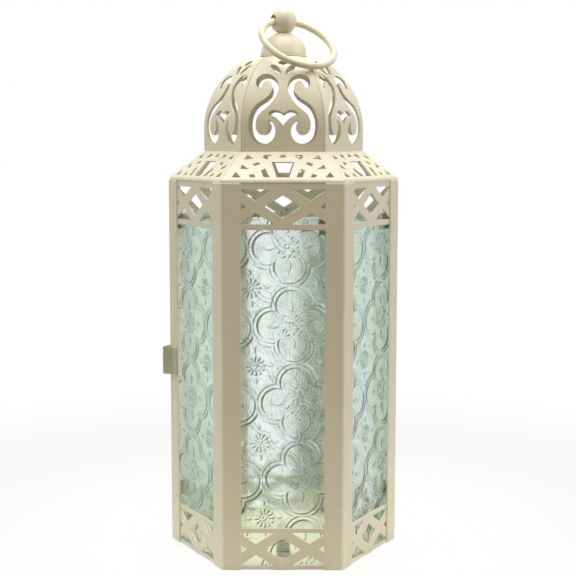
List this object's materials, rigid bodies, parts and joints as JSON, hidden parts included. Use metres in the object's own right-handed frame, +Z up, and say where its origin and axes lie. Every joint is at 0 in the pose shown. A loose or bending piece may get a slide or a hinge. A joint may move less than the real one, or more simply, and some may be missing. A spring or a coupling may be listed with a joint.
{
  "type": "candle lantern",
  "caption": "Hexagonal metal candle lantern with pressed-glass sides, lattice bands, a pierced roof and dome, a latched hinged door and a hanging ring.",
  "frame": {"origin": "middle of the underside of the base pan, on the lantern's axis", "axes": "+Z up along the lantern's axis, -Y towards the front side, +X to the right seen from the front"},
  "size_m": [0.1111, 0.0969, 0.2517],
  "materials": {
    "cream_paint": "satin powder coat",
    "tinted_glass": "pale green pressed glass",
    "steel_hardware": "zinc plated"
  },
  "bodies": {
    "cage": {"base_pan": "cream_paint", "bottom_lattice_back": "cream_paint", "bottom_lattice_back_right": "cream_paint", "bottom_lattice_front": "cream_paint", "bottom_lattice_front_left": "cream_paint", "bottom_lattice_front_right": "cream_paint", "clamp_washer": "steel_hardware", "corner_post_1": "cream_paint", "corner_post_2": "cream_paint", "corner_post_3": "cream_paint", "corner_post_4": "cream_paint", "corner_post_5": "cream_paint", "corner_post_6": "cream_paint", "crown_plate": "cream_paint", "dome_gore_back": "cream_paint", "dome_gore_back_left": "cream_paint", "dome_gore_back_right": "cream_paint", "dome_gore_front": "cream_paint", "dome_gore_front_left": "cream_paint", "dome_gore_front_right": "cream_paint", "finial_ball": "cream_paint", "finial_cap": "cream_paint", "finial_nut": "steel_hardware", "finial_stud": "steel_hardware", "finial_washer": "steel_hardware", "glass_back": "tinted_glass", "glass_back_right": "tinted_glass", "glass_front": "tinted_glass", "glass_front_left": "tinted_glass", "glass_front_right": "tinted_glass", "hinge_leaf_lower": "cream_paint", "hinge_leaf_upper": "cream_paint", "hinge_pin_lower": "steel_hardware", "hinge_pin_upper": "steel_hardware", "pane_keepers": "cream_paint", "roof_panel_back": "cream_paint", "roof_panel_back_left": "cream_paint", "roof_panel_back_right": "cream_paint", "roof_panel_front": "cream_paint", "roof_panel_front_left": "cream_paint", "roof_panel_front_right": "cream_paint", "top_lattice_back": "cream_paint", "top_lattice_back_right": "cream_paint", "top_lattice_front": "cream_paint", "top_lattice_front_left": "cream_paint", "top_lattice_front_right": "cream_paint"},
    "door": {"door_frame": "cream_paint", "door_glass": "tinted_glass", "door_clips": "cream_paint", "latch_clip": "cream_paint", "door_hinge_leaf_lower": "cream_paint", "door_hinge_leaf_upper": "cream_paint"},
    "ring": {"hanging_ring": "cream_paint"}
  },
  "joints": [
    {"name": "door_hinge", "type": "hinge", "parent": "cage", "child": "door", "pos_m": [-0.028, 0.0485, 0.0864], "axis": [0, 0, -1], "range_deg": [0, 125]},
    {"name": "ring_swing", "type": "hinge", "parent": "cage", "child": "ring", "pos_m": [0, 0, 0.24565], "axis": [-0.866, -0.5, 0], "range_deg": [0, 258]}
  ]
}
